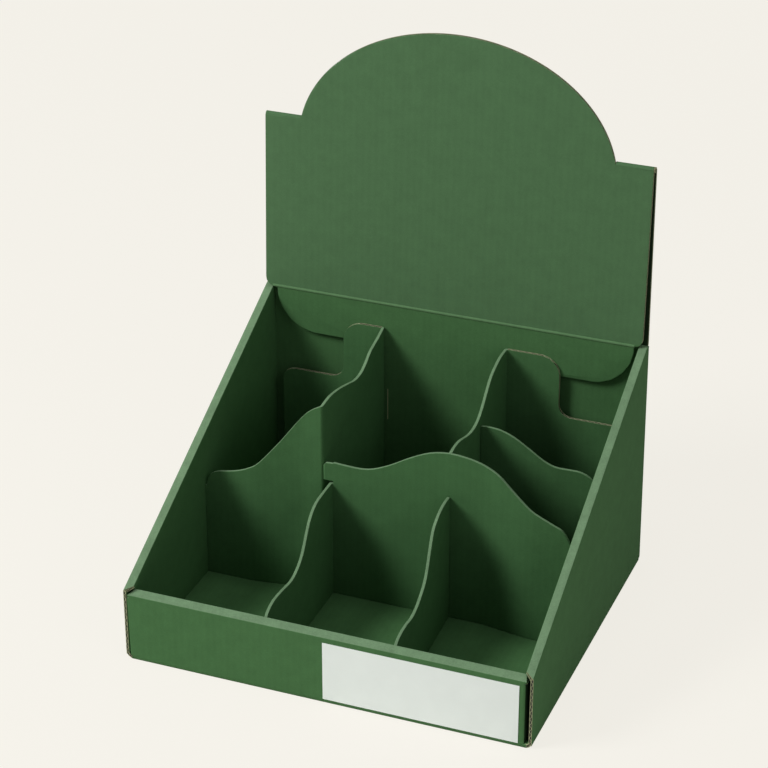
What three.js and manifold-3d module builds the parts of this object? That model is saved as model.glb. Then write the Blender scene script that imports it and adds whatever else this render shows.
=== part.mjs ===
// Counter display box: a tray folded from one sheet of corrugated board, whose lid stands up behind it
// as a header, with a set of wavy dividers inside and a blank label on the front.
// Millimetres, +Z up, the front faces -Y, and the origin lies under the middle of the box.
import * as THREE from 'three';
import { mergeVertices } from 'three/addons/utils/BufferGeometryUtils.js';
import Module from 'manifold-3d';

const wasm = await Module();
wasm.setup();

// Board
const board = 2; // thickness of the corrugated board
const layerGap = 0.25; // gap between two layers of the same folded sheet
const clearance = 0.3; // gap between two separate pieces
const foldRadius = 0.7; // outer radius of a crisp fold of the tray
const cornerFoldRadius = 2; // outer radius of the folds into the corner flaps
const softFoldRadius = 4.5; // outer radius of the folds between the base and its sides
const dividerFoldRadius = 1.2; // radius of a divider's fold, on the board's centre line
const bowRadius = 70; // radius of a slight bow in a divider, on the centre line

// Tray
const trayWidth = 300;
const trayDepth = 256;
const sideFrontHeight = 56; // height of a side wall at its front end
const sideRearHeight = 179.4; // height of a side wall at its rear end, and of the back wall
const sideBand = 6.5; // width of the flat top of a double side wall
const frontHeight = 52; // height of the front wall's outer edge
const frontBand = 6.5; // depth of the double front wall
const cornerFlapLength = 60; // how far a corner flap reaches between the layers of a side wall

// Header, which is the folded lid
const headerWidth = 293.4;
const headerOffset = -1.6; // the lid sits this much off the middle of the tray
const headerRise = 1.5; // height of the crease above the rear end of the sides
const headerHeight = 136.8; // from the crease to the shoulders
const headerLean = 1.5; // degrees that the rear layer leans back
const headerSpread = 2.5; // gap between the two layers at the tray's top
const headerCorner = 6; // radius of the front layer's lower corners
const archOffset = -1.4; // place of the arch's middle across the tray
const archHalfWidth = 120.4; // half the width of the ellipse that the arch follows
const archRise = 92.8; // half the height of that ellipse
const archSink = 16.5; // how far the middle of that ellipse lies under the shoulders

// Tuck flap, which locks the lid inside the back wall
const tuckHalfWidth = 139;
const tuckDepth = 34; // depth of the two ears
const tuckEarRadius = 32;
const tongueLeft = -66; // edges of the long tongue between the ears
const tongueRight = 60;
const tongueRadius = 8; // radius between an ear and the tongue

// Dividers
const leftWallX = -53.3; // centre line of the rear left divider's long panel
const rightWallX = 43.3; // centre line of the right divider where it crosses the cross wall
const rightWallFrontX = 48.9; // centre line of the right divider at the front wall
const foldWallX = -46.6; // fold of the cross wall into the front left divider
const foldWallFrontX = -45.6; // centre line of the front left divider at the front wall
const crossWallY = 1; // centre line of the cross wall in the middle of the tray
const crossWallSpare = 5; // from the cross wall's right end to the side wall
const bowDepth = 6; // how far the ends of the cross panels stand forward
const bowStart = 70; // a cross panel's bow starts and ends at these distances from the middle
const bowEnd = 105;
const rearPanelY = 64; // centre line of the rear cross panel
const rearPanelHeight = 127;
const crossWallHeight = 136.6; // crest of the cross wall
const rightRidgeHeight = 103; // crest of the right divider's front part
const leftRidgeHeight = 94.5; // height of the front left divider at its fold
const rearPanelSpare = 5.5; // from the rear cross panel's right end to the side wall
const earWidth = 5.4; // length of the small ear that the cross wall has past its fold
const lapHeight = 58; // height of the half lap between the cross wall and the right divider
const footBottom = 12; // lower edge of the feet that lock the front dividers into the front wall
const footHeight = 18;
const rearTabBottom = 40; // lower edge of the tab that locks the rear cross panel
const rearTabHeight = 24;

// Back panels of the two folded dividers
const towerHeight = 162; // the long panels behind the cross wall follow it
const towerEdge = 84.9; // distance of a tower's outer edge from the middle of the tray
const towerRadius = 15;
const shelfHeight = 114.5; // height of the low part beside a tower
const shelfRadius = 10; // radius of the curves at both ends of the low part
const shelfSpare = 8.5; // from a back panel's outer edge to the side wall

// Label
const labelWidth = 140.8;
const labelHeight = 45.7;
const labelThickness = 0.25;
const labelGlue = 0.05; // gap that the glue fills
const labelLeft = -0.4; // left edge of the label
const labelBottom = 2.6;

// Places worked out from the sizes above
const halfWidth = trayWidth / 2;
const halfDepth = trayDepth / 2;
const floor = board + clearance; // underside of the dividers
const insideX = halfWidth - sideBand; // inner face of a side wall
const insideY = halfDepth - frontBand; // inner face of the front wall, as a distance from the middle
const slope = (sideRearHeight - sideFrontHeight) / trayDepth;
const creaseHeight = sideRearHeight + headerRise;
const flapX = halfWidth - board - layerGap - board / 2; // centre line of the corner flaps
const lean = THREE.MathUtils.degToRad(headerLean);
const creaseY = halfDepth - board - headerSpread - board / 2; // centre line of the tuck flap
const backPanelY = creaseY - board - clearance; // centre line of the dividers' back panels
const frontPanelEnd = -insideY + clearance; // front end of the dividers
const shelfEdge = insideX - shelfSpare;
const crossWallEndX = insideX - crossWallSpare;
const rearPanelEndX = insideX - rearPanelSpare;

const xy = new THREE.Matrix4(); // drawing in plan, extruded upwards
const yz = new THREE.Matrix4().makeBasis(
  new THREE.Vector3(0, 1, 0), new THREE.Vector3(0, 0, 1), new THREE.Vector3(1, 0, 0));
const xz = new THREE.Matrix4().makeBasis(
  new THREE.Vector3(1, 0, 0), new THREE.Vector3(0, 0, 1), new THREE.Vector3(0, -1, 0));

/** Turns a closed geometry into a solid that can be joined and cut. */
function solidOf(geometry) {
  const bare = new THREE.BufferGeometry();
  bare.setAttribute('position', geometry.getAttribute('position'));
  if (geometry.index) bare.setIndex(geometry.index);
  const merged = mergeVertices(bare, 1e-4);
  return new wasm.Manifold(new wasm.Mesh({
    numProp: 3,
    vertProperties: new Float32Array(merged.getAttribute('position').array),
    triVerts: new Uint32Array(merged.index.array),
  }));
}

/** Turns a solid back into a geometry. */
function geometryOf(solid) {
  const mesh = solid.getMesh();
  const geometry = new THREE.BufferGeometry();
  geometry.setAttribute('position', new THREE.BufferAttribute(new Float32Array(mesh.vertProperties), 3));
  geometry.setIndex(new THREE.BufferAttribute(new Uint32Array(mesh.triVerts), 1));
  geometry.computeVertexNormals();
  return geometry;
}

/** Joins several solids into one. */
function join(...solids) {
  return solids.reduce((whole, solid) => whole.add(solid));
}

/** Extrudes a drawing in one of the planes xy, yz and xz from one end to the other along the third axis. */
function extrude(shape, plane, from, to, curveSegments = 12) {
  const geometry = new THREE.ExtrudeGeometry(shape, { depth: to - from, bevelEnabled: false, curveSegments });
  geometry.translate(0, 0, plane === xz ? -to : from);
  return solidOf(geometry.applyMatrix4(plane));
}

/** Makes a rectangular block between two corners. */
function block(low, high) {
  const size = high.map((value, axis) => value - low[axis]);
  const geometry = new THREE.BoxGeometry(...size);
  geometry.translate(...low.map((value, axis) => value + size[axis] / 2));
  return solidOf(geometry);
}

/** Makes a shape from a list of corners. */
function polygon(corners) {
  return new THREE.Shape(corners.map(([x, y]) => new THREE.Vector2(x, y)));
}

/**
 * Follows a line of corners [x, y, radius], rounding each inner corner. Each sample holds its point, and
 * its run, which
 * is the distance along the line before it was rounded.
 */
function roundedLine(corners, steps = 5) {
  const points = corners.map(([x, y]) => new THREE.Vector2(x, y));
  const samples = [{ point: points[0], run: 0 }];
  let run = 0;
  for (let i = 1; i < points.length - 1; i++) {
    const before = points[i].clone().sub(points[i - 1]);
    const after = points[i + 1].clone().sub(points[i]);
    run += before.length();
    before.normalize();
    after.normalize();
    const turn = Math.atan2(before.cross(after), before.dot(after));
    const radius = corners[i][2];
    if (radius === 0) {
      samples.push({ point: points[i], run });
      continue;
    }
    const reach = radius * Math.tan(Math.abs(turn) / 2);
    const centre = new THREE.Vector2(-before.y, before.x).multiplyScalar(Math.sign(turn) * radius)
      .add(points[i]).addScaledVector(before, -reach);
    const start = points[i].clone().addScaledVector(before, -reach);
    for (let k = 0; k <= steps; k++) {
      samples.push({
        point: start.clone().rotateAround(centre, (turn * k) / steps),
        run: run + reach * ((2 * k) / steps - 1),
      });
    }
  }
  const last = points[points.length - 1];
  run += last.distanceTo(points[points.length - 2]);
  samples.push({ point: last, run });
  return samples;
}

/** Gives each sample of a line the offset that reaches the board's left face there. */
function withOffsets(samples, thickness = board) {
  return samples.map((sample, i) => {
    const before = i > 0 ? sample.point.clone().sub(samples[i - 1].point) : null;
    const after = i < samples.length - 1 ? samples[i + 1].point.clone().sub(sample.point) : null;
    const a = (before ?? after).clone().normalize();
    const b = (after ?? before).clone().normalize();
    const middle = a.clone().add(b).normalize();
    const offset = new THREE.Vector2(-middle.y, middle.x).multiplyScalar(thickness / 2 / middle.dot(a));
    return { ...sample, offset };
  });
}

/** Draws the section of a folded board that follows a centre line of corners [x, y, outer radius]. */
function foldedSection(corners) {
  const samples = withOffsets(corners.map(([x, y]) => ({ point: new THREE.Vector2(x, y) })));
  const side = (sign) => roundedLine(samples.map(({ point, offset }, i) => {
    const { x, y } = point.clone().addScaledVector(offset, sign);
    if (i === 0 || i === samples.length - 1) return [x, y];
    const before = point.clone().sub(samples[i - 1].point);
    const outer = before.cross(samples[i + 1].point.clone().sub(point)) * sign < 0;
    return [x, y, Math.max(0, corners[i][2] - (outer ? 0 : board))];
  })).map(({ point }) => point);
  return new THREE.Shape([...side(-1), ...side(1).reverse()]);
}

/** Height of a line of points [run, height] at one place. */
function heightAt(points, run) {
  const next = points.findIndex((point) => point[0] > run);
  if (next === -1) return points[points.length - 1][1];
  if (next === 0) return points[0][1];
  const [a, b] = [points[next - 1], points[next]];
  return a[1] + ((b[1] - a[1]) * (run - a[0])) / (b[0] - a[0]);
}

/** Smooth wave over one stretch of a sheet, through points given as shares of the stretch and of a height. */
function wave(from, to, height, shares, steps = 3) {
  const points = shares.map(([run, rise]) => new THREE.Vector2(from + run * (to - from), rise * height));
  return new THREE.SplineCurve(points).getPoints(steps * (shares.length - 1)).map(({ x, y }) => [x, y]);
}

/**
 * Makes a sheet that stands upright along a line in plan and has its top edge given over the line's run. A
 * step in the
 * edge is drawn a hair off the vertical.
 */
function standingSheet(corners, topEdge, bottom = floor) {
  const hair = 0.05;
  const samples = roundedLine(corners);
  const length = samples[samples.length - 1].run;
  const top = [];
  for (const [run, height] of topEdge) {
    const last = top.length ? top[top.length - 1][0] : -hair;
    top.push([Math.min(Math.max(run, last + hair), length), height]);
  }
  const runs = [...new Set([...samples.map(({ run }) => run), ...top.map(([run]) => run), 0, length])]
    .filter((run) => run >= 0 && run <= length)
    .sort((a, b) => a - b)
    .filter((run, i, all) => i === 0 || run - all[i - 1] > hair / 2);
  const stations = withOffsets(runs.map((run) => {
    const next = Math.max(1, samples.findIndex((sample) => sample.run >= run));
    const [a, b] = [samples[next - 1], samples[next]];
    return { run, point: a.point.clone().lerp(b.point, (run - a.run) / Math.max(b.run - a.run, 1e-9)) };
  }));
  const positions = [];
  for (const { run, point, offset } of stations) {
    for (const side of [-1, 1]) {
      for (const z of [bottom, heightAt(top, run)]) {
        positions.push(point.x + side * offset.x, point.y + side * offset.y, z);
      }
    }
  }
  // Corners of a station: 0 right bottom, 1 right top, 2 left bottom, 3 left top
  const indices = [];
  const quad = (a, b, c, d) => indices.push(a, b, c, a, c, d);
  for (let i = 0; i < stations.length - 1; i++) {
    const [p, q] = [4 * i, 4 * i + 4];
    quad(p, q, q + 1, p + 1);
    quad(p + 3, q + 3, q + 2, p + 2);
    quad(p + 1, q + 1, q + 3, p + 3);
    quad(p + 2, q + 2, q, p);
  }
  const end = 4 * (stations.length - 1);
  quad(0, 1, 3, 2);
  quad(end + 2, end + 3, end + 1, end);
  const geometry = new THREE.BufferGeometry();
  geometry.setAttribute('position', new THREE.BufferAttribute(new Float32Array(positions), 3));
  geometry.setIndex(indices);
  return solidOf(geometry);
}

/** Stands a flat drawing (x across, y up the sheet) upright, its rear face through a line, and leans it
 * back. */
function leaningSheet(shape, angle, y, z) {
  const geometry = new THREE.ExtrudeGeometry(shape, { depth: board, bevelEnabled: false, curveSegments: 28 });
  geometry.rotateX(Math.PI / 2);
  geometry.rotateX(-angle);
  geometry.translate(0, y, z);
  return solidOf(geometry);
}

/** A round bar along X, which fills the outside of a fold. */
function foldBar(radius, fromX, toX, y, z) {
  const geometry = new THREE.CylinderGeometry(radius, radius, toX - fromX, 20);
  geometry.rotateZ(Math.PI / 2);
  geometry.translate((fromX + toX) / 2, y, z);
  return solidOf(geometry);
}

/** Base with the two outer side panels, cut to the slope of the sides. */
function makeChannel() {
  const wallX = halfWidth - board / 2;
  const section = foldedSection([
    [-wallX, sideRearHeight], [-wallX, board / 2, softFoldRadius],
    [wallX, board / 2, softFoldRadius], [wallX, sideRearHeight]]);
  const above = polygon([
    [-halfDepth - 1, slopeAt(-halfDepth - 1) - board], [halfDepth + 1, slopeAt(halfDepth + 1) - board],
    [halfDepth + 1, sideRearHeight + 50], [-halfDepth - 1, sideRearHeight + 50]]);
  return extrude(section, xz, -halfDepth, halfDepth).subtract(extrude(above, yz, -halfWidth - 1,
    halfWidth + 1));
}

/** Height of the sides' top at one place from front to back. */
function slopeAt(y) {
  return sideFrontHeight + slope * (y + halfDepth);
}

/** Flat top and inner panel of one side wall, which roll over the outer panel. */
function makeSideRoll(side) {
  const outerX = halfWidth - board / 2;
  const innerX = insideX + board / 2;
  const top = sideFrontHeight - board / 2;
  const reach = sideRearHeight - sideFrontHeight + board;
  const section = foldedSection([
    [outerX, -reach], [outerX, top, foldRadius], [innerX, top, foldRadius], [innerX, -reach]]);
  const rear = halfDepth - board - layerGap;
  const shear = new THREE.Matrix4().makeShear(0, 0, 0, slope, 0, 0);
  const roll = extrude(section, xz, -halfDepth, rear);
  const sheared = solidOf(geometryOf(roll).applyMatrix4(shear).translate(0, 0, slope * halfDepth));
  const kept = block([insideX - 1, -halfDepth - 1, board + layerGap],
    [halfWidth + 1, halfDepth, sideRearHeight + 1]);
  // The inner panel stops behind the front wall, under the flat top.
  const frontRelief = block(
    [insideX - 1, -halfDepth - 1, 0], [halfWidth - board, -insideY + layerGap, sideFrontHeight - board]);
  const right = sheared.intersect(kept).subtract(frontRelief);
  return side > 0 ? right : right.mirror([1, 0, 0]);
}

/** Front panel with its sloped roll-over strip and inner panel, and the corner flaps at its ends. */
function makeFrontWall() {
  const outerY = -halfDepth + board / 2;
  const innerY = -insideY - board / 2;
  // Height of the sloping strip's centre line, whose upper face starts at the front wall's outer edge
  const stripAt = (y) => frontHeight + slope * (y + halfDepth) - (board / 2) * Math.hypot(1, slope);
  const section = foldedSection([
    [-insideY + 20, board / 2], [outerY, board / 2, cornerFoldRadius], [outerY, stripAt(outerY), foldRadius],
    [innerY, stripAt(innerY), foldRadius], [innerY, board + layerGap]]);
  const wall = extrude(section, yz, -insideX + clearance, insideX - clearance);
  const flapEnd = -halfDepth + cornerFlapLength;
  const plan = foldedSection([
    [-flapX, flapEnd], [-flapX, outerY, cornerFoldRadius], [flapX, outerY, cornerFoldRadius],
    [flapX, flapEnd]]);
  return wall.add(extrude(plan, xy, board + layerGap, frontHeight - board));
}

/** Back wall with its base fold and corner flaps. */
function makeBackWall() {
  const wallY = halfDepth - board / 2;
  const section = foldedSection([
    [wallY - 20, board / 2], [wallY, board / 2, cornerFoldRadius], [wallY, creaseHeight]]);
  const wall = extrude(section, yz, -insideX + clearance, insideX - clearance);
  const plan = foldedSection([
    [flapX, halfDepth - cornerFlapLength], [flapX, wallY, cornerFoldRadius], [-flapX, wallY, cornerFoldRadius],
    [-flapX, halfDepth - cornerFlapLength]]);
  const drop = board + layerGap;
  const above = polygon([
    [-halfDepth, slopeAt(-halfDepth) - drop], [halfDepth + 1, slopeAt(halfDepth + 1) - drop],
    [halfDepth + 1, sideRearHeight + 50], [-halfDepth, sideRearHeight + 50]]);
  const flaps = extrude(plan, xy, board + layerGap, sideRearHeight)
    .subtract(extrude(above, yz, -halfWidth - 1, halfWidth + 1));
  return wall.add(flaps);
}

/** Header: two layers folded at the shoulders, with the arch standing above the front one. */
function makeHeader() {
  const left = headerOffset - headerWidth / 2;
  const right = headerOffset + headerWidth / 2;
  const shoulderFold = board + layerGap / 2; // radius of the fold at the shoulders
  const shoulder = headerHeight - shoulderFold;
  const rise = archSink - shoulderFold; // height of the shoulder line above the middle of the ellipse
  const footAngle = Math.asin(rise / archRise);
  const archFoot = archHalfWidth * Math.cos(footAngle);

  const rear = new THREE.Shape();
  rear.moveTo(left, 0);
  rear.lineTo(right, 0);
  rear.lineTo(right, shoulder);
  rear.lineTo(archOffset + archFoot, shoulder);
  rear.absellipse(
    archOffset, shoulder + rise, archHalfWidth, archRise, -footAngle, -Math.PI + footAngle, true);
  rear.lineTo(left, shoulder);

  const front = new THREE.Shape();
  front.moveTo(left + headerCorner, 0);
  front.lineTo(right - headerCorner, 0);
  front.absarc(right - headerCorner, headerCorner, headerCorner, -Math.PI / 2, 0, false);
  front.lineTo(right, shoulder);
  front.lineTo(archOffset + archFoot, shoulder);
  front.absellipse(archOffset, shoulder - rise, archHalfWidth, archRise, footAngle, Math.PI - footAngle,
    false);
  front.lineTo(left, shoulder);
  front.absarc(left + headerCorner, headerCorner, headerCorner, Math.PI, 1.5 * Math.PI, false);

  // The rear layer rises from the back wall; the front layer meets it at the shoulders and stands off at
  // the bottom.
  const rearTopY = halfDepth + shoulder * Math.sin(lean) - shoulderFold;
  const shoulderZ = creaseHeight + shoulder * Math.cos(lean);
  const frontBottomY = creaseY + board / 2;
  const frontLean = Math.atan2(rearTopY - layerGap / 2 - frontBottomY, shoulder);
  const overlap = 0.2; // how deep a layer runs into the fold that it rises from
  return join(
    leaningSheet(rear, lean, halfDepth, creaseHeight - overlap),
    leaningSheet(front, frontLean, frontBottomY, creaseHeight - overlap),
    foldBar(shoulderFold, left, archOffset - archFoot, rearTopY, shoulderZ),
    foldBar(shoulderFold, archOffset + archFoot, right, rearTopY, shoulderZ));
}

/** Tuck flap: two round ears and the long tongue, hanging from the crease under the front layer. */
function makeTuckFlap() {
  const outline = new THREE.Shape();
  const ear = creaseHeight - tuckDepth;
  const bottom = board + layerGap;
  outline.moveTo(-tuckHalfWidth, creaseHeight);
  outline.lineTo(-tuckHalfWidth, ear + tuckEarRadius);
  outline.absarc(-tuckHalfWidth + tuckEarRadius, ear + tuckEarRadius, tuckEarRadius, Math.PI,
    1.5 * Math.PI, false);
  outline.lineTo(tongueLeft - tongueRadius, ear);
  outline.absarc(tongueLeft - tongueRadius, ear - tongueRadius, tongueRadius, Math.PI / 2, 0, true);
  outline.lineTo(tongueLeft, bottom);
  outline.lineTo(tongueRight, bottom);
  outline.absarc(tongueRight + tongueRadius, ear - tongueRadius, tongueRadius, Math.PI, Math.PI / 2, true);
  outline.absarc(tuckHalfWidth - tuckEarRadius, ear + tuckEarRadius, tuckEarRadius, 1.5 * Math.PI,
    2 * Math.PI, false);
  outline.lineTo(tuckHalfWidth, creaseHeight);
  const flap = extrude(outline, xz, creaseY - board / 2, creaseY + board / 2, 10);
  return flap.add(foldBar(0.48 * board, -tuckHalfWidth, tuckHalfWidth, creaseY, creaseHeight));
}

/** Slots in the front wall's inner panel for the feet of the front dividers. */
function makeFootSlots() {
  return join(...[foldWallFrontX, rightWallFrontX].map((x) => block(
    [x - board / 2 - clearance, -insideY - board - layerGap, footBottom - clearance],
    [x + board / 2 + clearance, -insideY + 1, footBottom + footHeight + clearance])));
}

/** The whole tray, one folded sheet. */
function makeTray() {
  return join(makeChannel(), makeSideRoll(1), makeSideRoll(-1), makeFrontWall(), makeBackWall(), makeHeader(),
    makeTuckFlap()).subtract(makeFootSlots());
}

/** Top edge of a divider's back panel, as points [distance from the middle of the tray, height], outwards. */
function towerLine(foldX) {
  const path = new THREE.Path();
  path.moveTo(foldX, towerHeight);
  path.lineTo(towerEdge - towerRadius, towerHeight);
  path.absarc(towerEdge - towerRadius, towerHeight - towerRadius, towerRadius, Math.PI / 2, 0, true);
  path.lineTo(towerEdge, shelfHeight + shelfRadius);
  path.absarc(towerEdge + shelfRadius, shelfHeight + shelfRadius, shelfRadius, Math.PI, 1.5 * Math.PI, false);
  path.lineTo(shelfEdge - shelfRadius, shelfHeight);
  path.absarc(shelfEdge - shelfRadius, shelfHeight - shelfRadius, shelfRadius, Math.PI / 2, 0, true);
  return path.getPoints(4).map(({ x, y }) => [x, y]);
}

/** Rear left divider: back panel, long panel and the cross panel that runs to the left wall, folded from
 * one sheet. */
function makeRearLeftDivider() {
  const end = -insideX + clearance;
  const back = shelfEdge + leftWallX; // length of the back panel
  const long = backPanelY - crossWallY; // length of the long panel
  const cross = leftWallX - end; // length of the cross panel
  const corners = [
    [-shelfEdge, backPanelY], [leftWallX, backPanelY, dividerFoldRadius],
    [leftWallX, crossWallY, dividerFoldRadius],
    [-bowStart, crossWallY, bowRadius], [-bowEnd, crossWallY - bowDepth, bowRadius],
    [end, crossWallY - bowDepth]];
  const topEdge = [
    ...towerLine(-leftWallX).reverse().map(([x, z]) => [shelfEdge - x, z]),
    ...wave(back, back + long, towerHeight, [
      [0.01, 1], [0.1, 0.979], [0.22, 0.957], [0.3, 0.924], [0.38, 0.901], [0.48, 0.9], [0.585, 0.92],
      [0.73, 0.947], [0.88, 0.963], [0.998, 0.957]]),
    ...wave(back + long, back + long + cross, towerHeight, [
      [0.012, 0.954], [0.093, 0.927], [0.18, 0.878], [0.356, 0.748], [0.534, 0.631], [0.623, 0.596],
      [0.712, 0.574], [0.812, 0.56], [0.879, 0.553], [0.934, 0.54], [0.973, 0.515], [0.996, 0.469]])];
  return standingSheet(corners, topEdge);
}

/** Right divider: back panel and the long panel from the back to the front wall, with a slot for the cross
 * wall. */
function makeRightDivider() {
  const back = shelfEdge - rightWallX;
  const long = backPanelY - crossWallY;
  const front = crossWallY - frontPanelEnd; // length of the part in front of the cross wall
  const corners = [
    [shelfEdge, backPanelY], [rightWallX, backPanelY, dividerFoldRadius], [rightWallX, crossWallY, bowRadius],
    [rightWallFrontX, frontPanelEnd]];
  const topEdge = [
    ...towerLine(rightWallX).reverse().map(([x, z]) => [shelfEdge - x, z]),
    ...wave(back, back + long, towerHeight, [
      [0.01, 1], [0.11, 0.999], [0.203, 0.983], [0.28, 0.96], [0.34, 0.926], [0.423, 0.869], [0.508, 0.825],
      [0.6, 0.811], [0.694, 0.817], [0.83, 0.843], [0.922, 0.848], [0.998, 0.84]]),
    ...wave(back + long, back + long + front, rightRidgeHeight, [
      [0.002, 0.99], [0.09, 1], [0.18, 0.99], [0.254, 0.961], [0.311, 0.917], [0.36, 0.816], [0.409, 0.694],
      [0.458, 0.617], [0.532, 0.563], [0.614, 0.524], [0.696, 0.513], [0.794, 0.529], [0.884, 0.53],
      [0.949, 0.515], [0.99, 0.481]])];
  const gap = board / 2 + clearance;
  const slot = block([rightWallX - 5, crossWallY - gap, lapHeight],
    [rightWallX + 5, crossWallY + gap, towerHeight]);
  const tabSlot = block(
    [rightWallX - 5, rearPanelY - gap, rearTabBottom - clearance],
    [rightWallX + 5, rearPanelY + gap, rearTabBottom + rearTabHeight + clearance]);
  return standingSheet(corners, topEdge).subtract(slot).subtract(tabSlot).add(makeFoot(rightWallFrontX));
}

/** Foot that reaches from a front divider into the slot of the front wall's inner panel, pressed a little
 * thinner. */
function makeFoot(x) {
  const half = 0.45 * board;
  return block([x - half, -insideY - board, footBottom], [x + half, frontPanelEnd + 2,
    footBottom + footHeight]);
}

/** Cross wall with the front left divider folded from its left end, and a slot that sits over the right
 * divider. */
function makeCrossWall() {
  const divider = crossWallY - frontPanelEnd; // length of the front left divider
  const cross = crossWallEndX - foldWallX; // length of the cross wall
  const corners = [
    [foldWallFrontX, frontPanelEnd], [foldWallX, crossWallY, dividerFoldRadius],
    [bowStart, crossWallY, bowRadius],
    [bowEnd, crossWallY - bowDepth, bowRadius], [crossWallEndX, crossWallY - bowDepth]];
  const topEdge = [
    ...wave(0, divider + board, leftRidgeHeight, [
      [0, 0.529], [0.032, 0.585], [0.12, 0.62], [0.241, 0.613], [0.37, 0.595], [0.459, 0.628], [0.539, 0.704],
      [0.636, 0.889], [0.708, 0.965], [0.797, 0.995], [1, 1]]),
    ...wave(divider + board, divider + cross, crossWallHeight, [
      [0.001, 0.815], [0.046, 0.811], [0.112, 0.809], [0.166, 0.822], [0.237, 0.865], [0.319, 0.93],
      [0.401, 0.981],
      [0.483, 1], [0.571, 0.988], [0.642, 0.959], [0.691, 0.926], [0.74, 0.871], [0.79, 0.816], [0.839, 0.77],
      [0.921, 0.72], [0.951, 0.7], [0.975, 0.655], [0.992, 0.6], [1, 0.542]])];
  const ear = standingSheet(
    [[foldWallX - earWidth, crossWallY], [foldWallX + 2 * board, crossWallY]],
    [[0, 0.793 * crossWallHeight], [0.3 * earWidth, 0.807 * crossWallHeight],
    [2 * earWidth, 0.811 * crossWallHeight]],
    leftRidgeHeight + board);
  const gap = board / 2 + clearance;
  const slot = block(
    [rightWallX - gap, crossWallY - 2 * board, 0], [rightWallX + gap, crossWallY + 2 * board,
    lapHeight + clearance]);
  return standingSheet(corners, topEdge).add(ear).subtract(slot).add(makeFoot(foldWallFrontX));
}

/** Rear cross panel, a flat sheet between the right divider and the right wall. */
function makeRearCrossPanel() {
  const start = rightWallX + board / 2 + clearance;
  const topEdge = wave(0, rearPanelEndX - start, rearPanelHeight, [
    [0, 1], [0.079, 1], [0.165, 0.992], [0.272, 0.961], [0.4, 0.902], [0.507, 0.85], [0.604, 0.822],
    [0.722, 0.821],
    [0.807, 0.819], [0.882, 0.797], [0.941, 0.752], [0.979, 0.685], [1, 0.598]]);
  const tab = block(
    [rightWallX - board / 2, rearPanelY - board / 2, rearTabBottom],
    [start + board, rearPanelY + board / 2, rearTabBottom + rearTabHeight]);
  return standingSheet([[start, rearPanelY], [rearPanelEndX, rearPanelY]], topEdge).add(tab);
}

/** Plain paper label on the front wall. */
function makeLabel() {
  const rear = -halfDepth - labelGlue;
  return block(
    [labelLeft, rear - labelThickness, labelBottom], [labelLeft + labelWidth, rear,
    labelBottom + labelHeight]);
}

const greenBoard = new THREE.MeshStandardMaterial({ color: 0x42693f, roughness: 0.85, metalness: 0 });
const innerBoard = new THREE.MeshStandardMaterial({ color: 0x3b5f3b, roughness: 0.88, metalness: 0 });
const whitePaper = new THREE.MeshStandardMaterial({ color: 0xd9ded9, roughness: 0.7, metalness: 0 });

/** Names one piece and adds it to the display box. */
function addPiece(group, name, solid, material) {
  const mesh = new THREE.Mesh(geometryOf(solid), material);
  mesh.name = name;
  group.add(mesh);
}

const display = new THREE.Group();
addPiece(display, 'tray', makeTray(), greenBoard);
addPiece(display, 'rear_left_divider', makeRearLeftDivider(), innerBoard);
addPiece(display, 'right_divider', makeRightDivider(), innerBoard);
addPiece(display, 'cross_wall', makeCrossWall(), innerBoard);
addPiece(display, 'rear_cross_panel', makeRearCrossPanel(), innerBoard);
addPiece(display, 'front_label', makeLabel(), whitePaper);

// The origin lies under the middle of the box, the header included.
const bounds = new THREE.Box3().setFromObject(display);
display.position.y = -(bounds.min.y + bounds.max.y) / 2;

export default display;
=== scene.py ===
"""Looks of the counter display box.

It is made of printed corrugated board with fluted cut edges, has a blank label, and stands in a
soft studio.
"""

import logging
import math
from dataclasses import dataclass, field
from enum import Enum
from typing import Callable, NamedTuple

import bmesh
import bpy
from mathutils import Matrix, Vector

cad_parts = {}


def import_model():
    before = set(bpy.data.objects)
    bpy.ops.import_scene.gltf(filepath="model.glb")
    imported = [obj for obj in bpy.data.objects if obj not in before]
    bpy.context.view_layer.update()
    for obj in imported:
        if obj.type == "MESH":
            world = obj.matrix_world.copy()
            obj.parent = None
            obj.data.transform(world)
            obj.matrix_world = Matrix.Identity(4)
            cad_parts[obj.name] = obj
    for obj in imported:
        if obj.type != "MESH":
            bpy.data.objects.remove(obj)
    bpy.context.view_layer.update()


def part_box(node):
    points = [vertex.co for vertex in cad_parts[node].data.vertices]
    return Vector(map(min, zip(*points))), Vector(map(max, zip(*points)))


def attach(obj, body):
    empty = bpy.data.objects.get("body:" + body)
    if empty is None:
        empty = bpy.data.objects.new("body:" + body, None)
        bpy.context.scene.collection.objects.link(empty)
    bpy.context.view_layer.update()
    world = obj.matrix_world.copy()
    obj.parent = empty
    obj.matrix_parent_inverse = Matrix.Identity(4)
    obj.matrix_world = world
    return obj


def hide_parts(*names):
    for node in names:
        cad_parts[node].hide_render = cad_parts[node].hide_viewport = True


LOG = logging.getLogger("display_box")
MM = 0.001

# Sizes of the box, in millimetres from the middle of the tray.
BOARD = 2.0
HALF_WIDTH = 150.0
HALF_DEPTH = 128.0
CREASE_HEIGHT = 180.9  # crease between the tray and its header
LABEL_FACE = 128.3  # distance of the label's face
ROOF_NORMAL = Vector((0, -0.434, 0.901))  # direction out of a side wall's sloping top

Colour = tuple[float, float, float]
Span = tuple[float, float]
ANY: Span = (-math.inf, math.inf)


def linear(red: int, green: int, blue: int) -> Colour:
    """Turns a colour as a screen shows it (0 to 255) into a linear one.

    Args:
        red: Red of the screen colour.
        green: Green of the screen colour.
        blue: Blue of the screen colour.

    Returns:
        The three linear values.
    """
    def one(value: int) -> float:
        share = value / 255
        return share / 12.92 if share <= 0.04045 else ((share + 0.055) / 1.055) ** 2.4
    return one(red), one(green), one(blue)


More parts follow.
